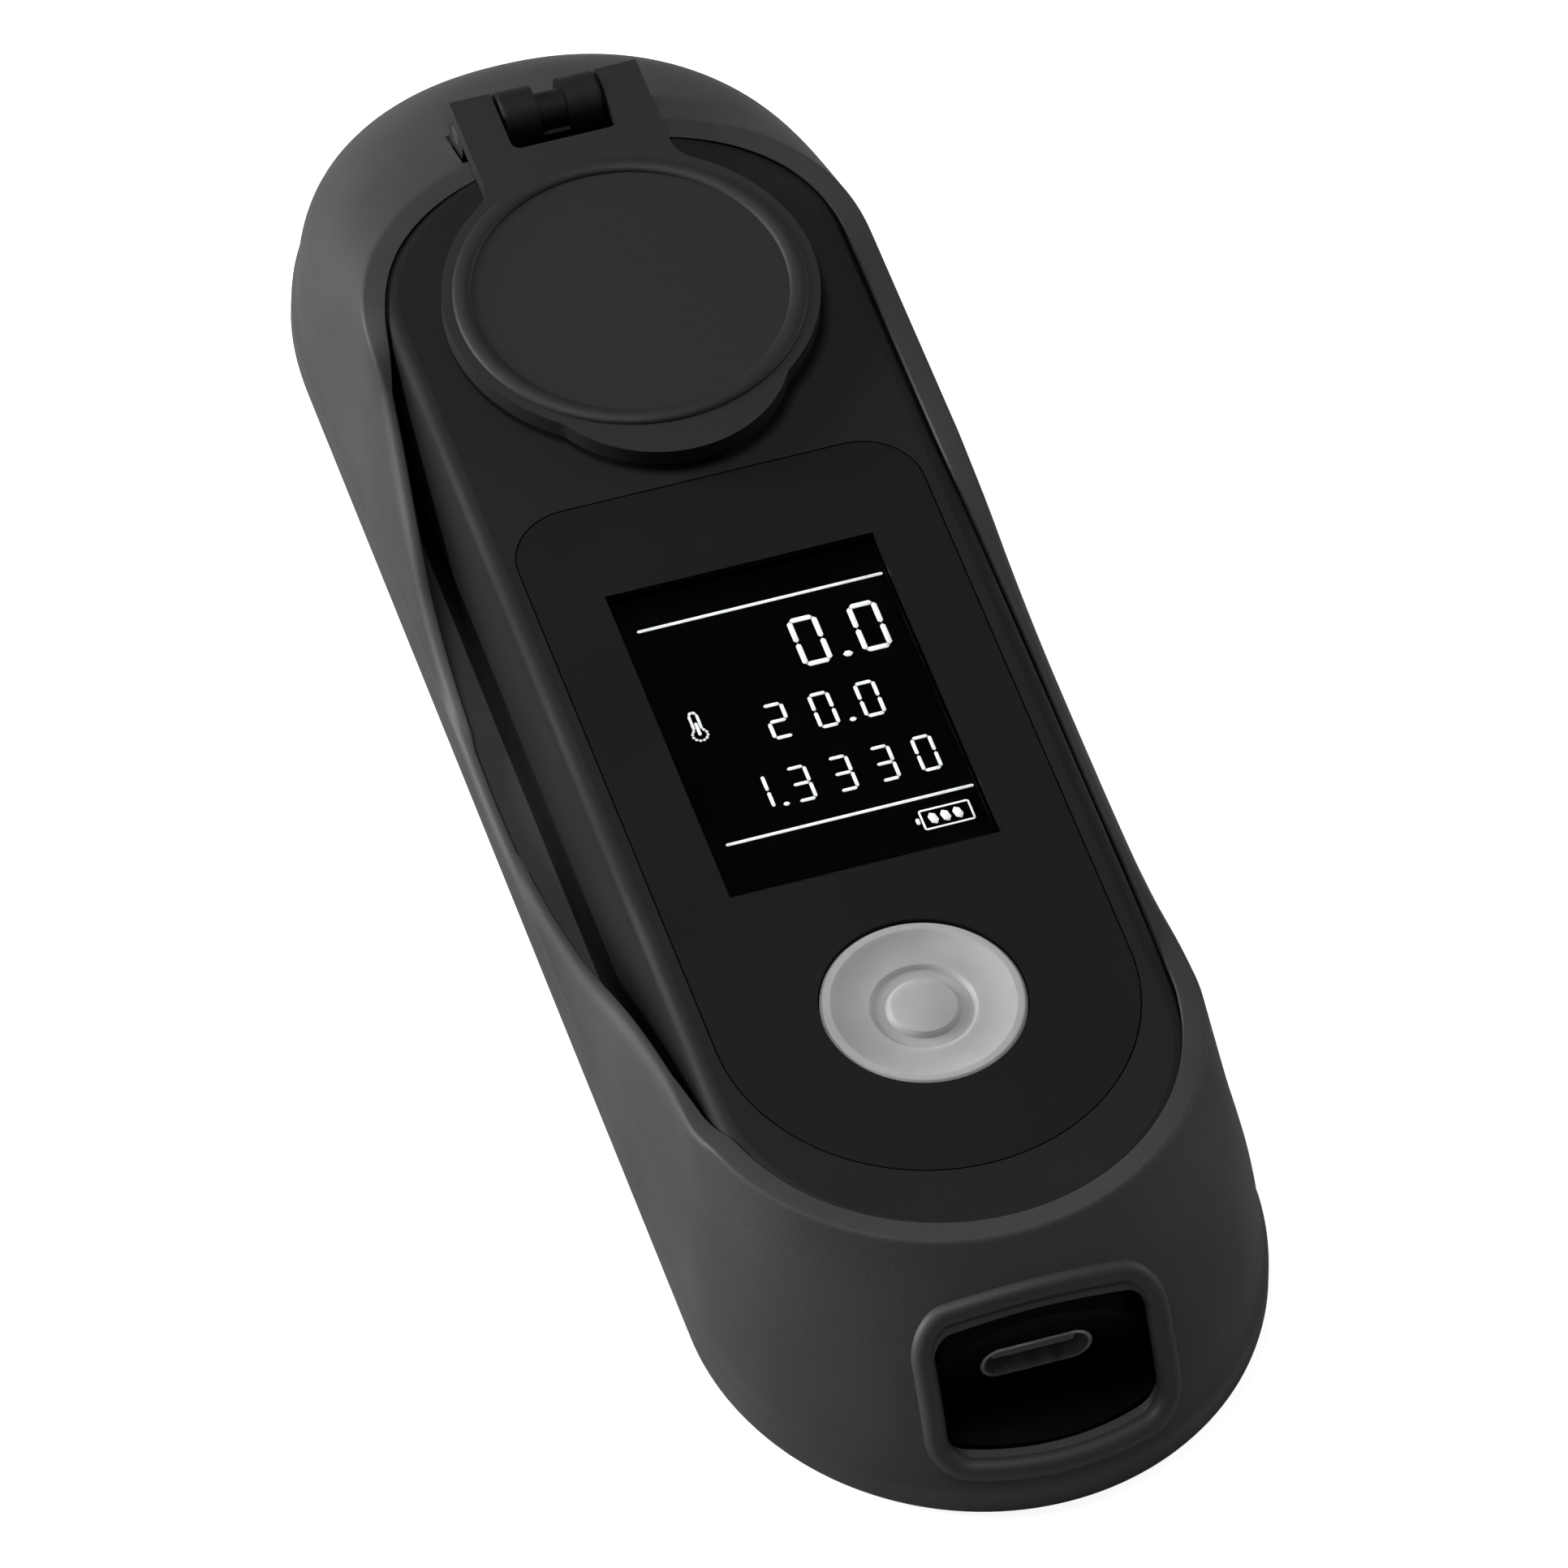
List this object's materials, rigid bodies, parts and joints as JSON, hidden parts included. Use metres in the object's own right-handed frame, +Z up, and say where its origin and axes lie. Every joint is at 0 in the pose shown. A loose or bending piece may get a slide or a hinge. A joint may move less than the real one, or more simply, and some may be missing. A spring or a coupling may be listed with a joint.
{
  "type": "refractometer",
  "caption": "Handheld digital refractometer in a rubber boot, with a display, a push button, a hinged cover over a steel sample well, and a USB-C charging pocket.",
  "frame": {"origin": "centre of the boot's flat underside", "axes": "+X right, +Y along the length towards the cover's hinge, +Z up through the display"},
  "size_m": [0.0458, 0.1484, 0.0212],
  "materials": {
    "boot_rubber": "satin black moulded rubber",
    "case_plastic": "fine-grained black moulded plastic",
    "cover_plastic": "fine-grained black moulded plastic",
    "label_film": "matt black film",
    "window_glass": "clear smoked window",
    "lcd_black": "black display panel",
    "white_plastic": "milky light guide",
    "black_plastic": "black moulded plastic",
    "button_silicone": "grey translucent silicone",
    "switch_plastic": "natural nylon",
    "circuit_board": "green solder mask",
    "chip_plastic": "black moulded package",
    "screw_steel": "zinc-plated steel",
    "socket_steel": "bright drawn steel",
    "battery_foil": "foil pouch",
    "foam_pad": "black foam",
    "seal_rubber": "black silicone seal",
    "well_steel": "turned stainless steel",
    "optical_glass": "polished optical glass",
    "lamp_resin": "tinted clear resin",
    "sensor_ceramic": "dark glazed package",
    "pin_steel": "ground steel pin"
  },
  "bodies": {
    "housing": {"rubber_boot": "boot_rubber", "front_case": "case_plastic", "rear_case": "case_plastic", "case_gasket": "seal_rubber", "case_screws": "screw_steel", "front_label": "label_film", "display_window": "window_glass", "lcd_glass": "lcd_black", "lcd_frame": "black_plastic", "backlight_panel": "white_plastic", "switch_body": "black_plastic", "main_board": "circuit_board", "board_screws": "screw_steel", "board_chips": "chip_plastic", "usb_shell": "socket_steel", "usb_tongue": "black_plastic", "usb_seal": "seal_rubber", "battery_cell": "battery_foil", "battery_pad": "foam_pad", "sample_well": "well_steel", "prism": "optical_glass", "optics_housing": "black_plastic", "optics_screws": "screw_steel", "light_source": "lamp_resin", "light_board": "circuit_board", "beam_lens": "optical_glass", "line_sensor": "sensor_ceramic", "sensor_board": "circuit_board", "temperature_sensor": "black_plastic", "hinge_pin": "pin_steel"},
    "cover": {"sample_cover": "cover_plastic", "cover_seal": "seal_rubber"},
    "button": {"button_cap": "button_silicone", "switch_plunger": "switch_plastic"}
  },
  "joints": [
    {"name": "cover_hinge", "type": "hinge", "parent": "housing", "child": "cover", "pos_m": [0, 0.0582, 0.0186], "axis": [-1, 0, 0], "range_deg": [0, 120]},
    {"name": "button_press", "type": "slide", "parent": "housing", "child": "button", "axis": [0, 0, -1], "range_m": [0, 0.0006], "stiffness_N_per_m": 1500}
  ]
}
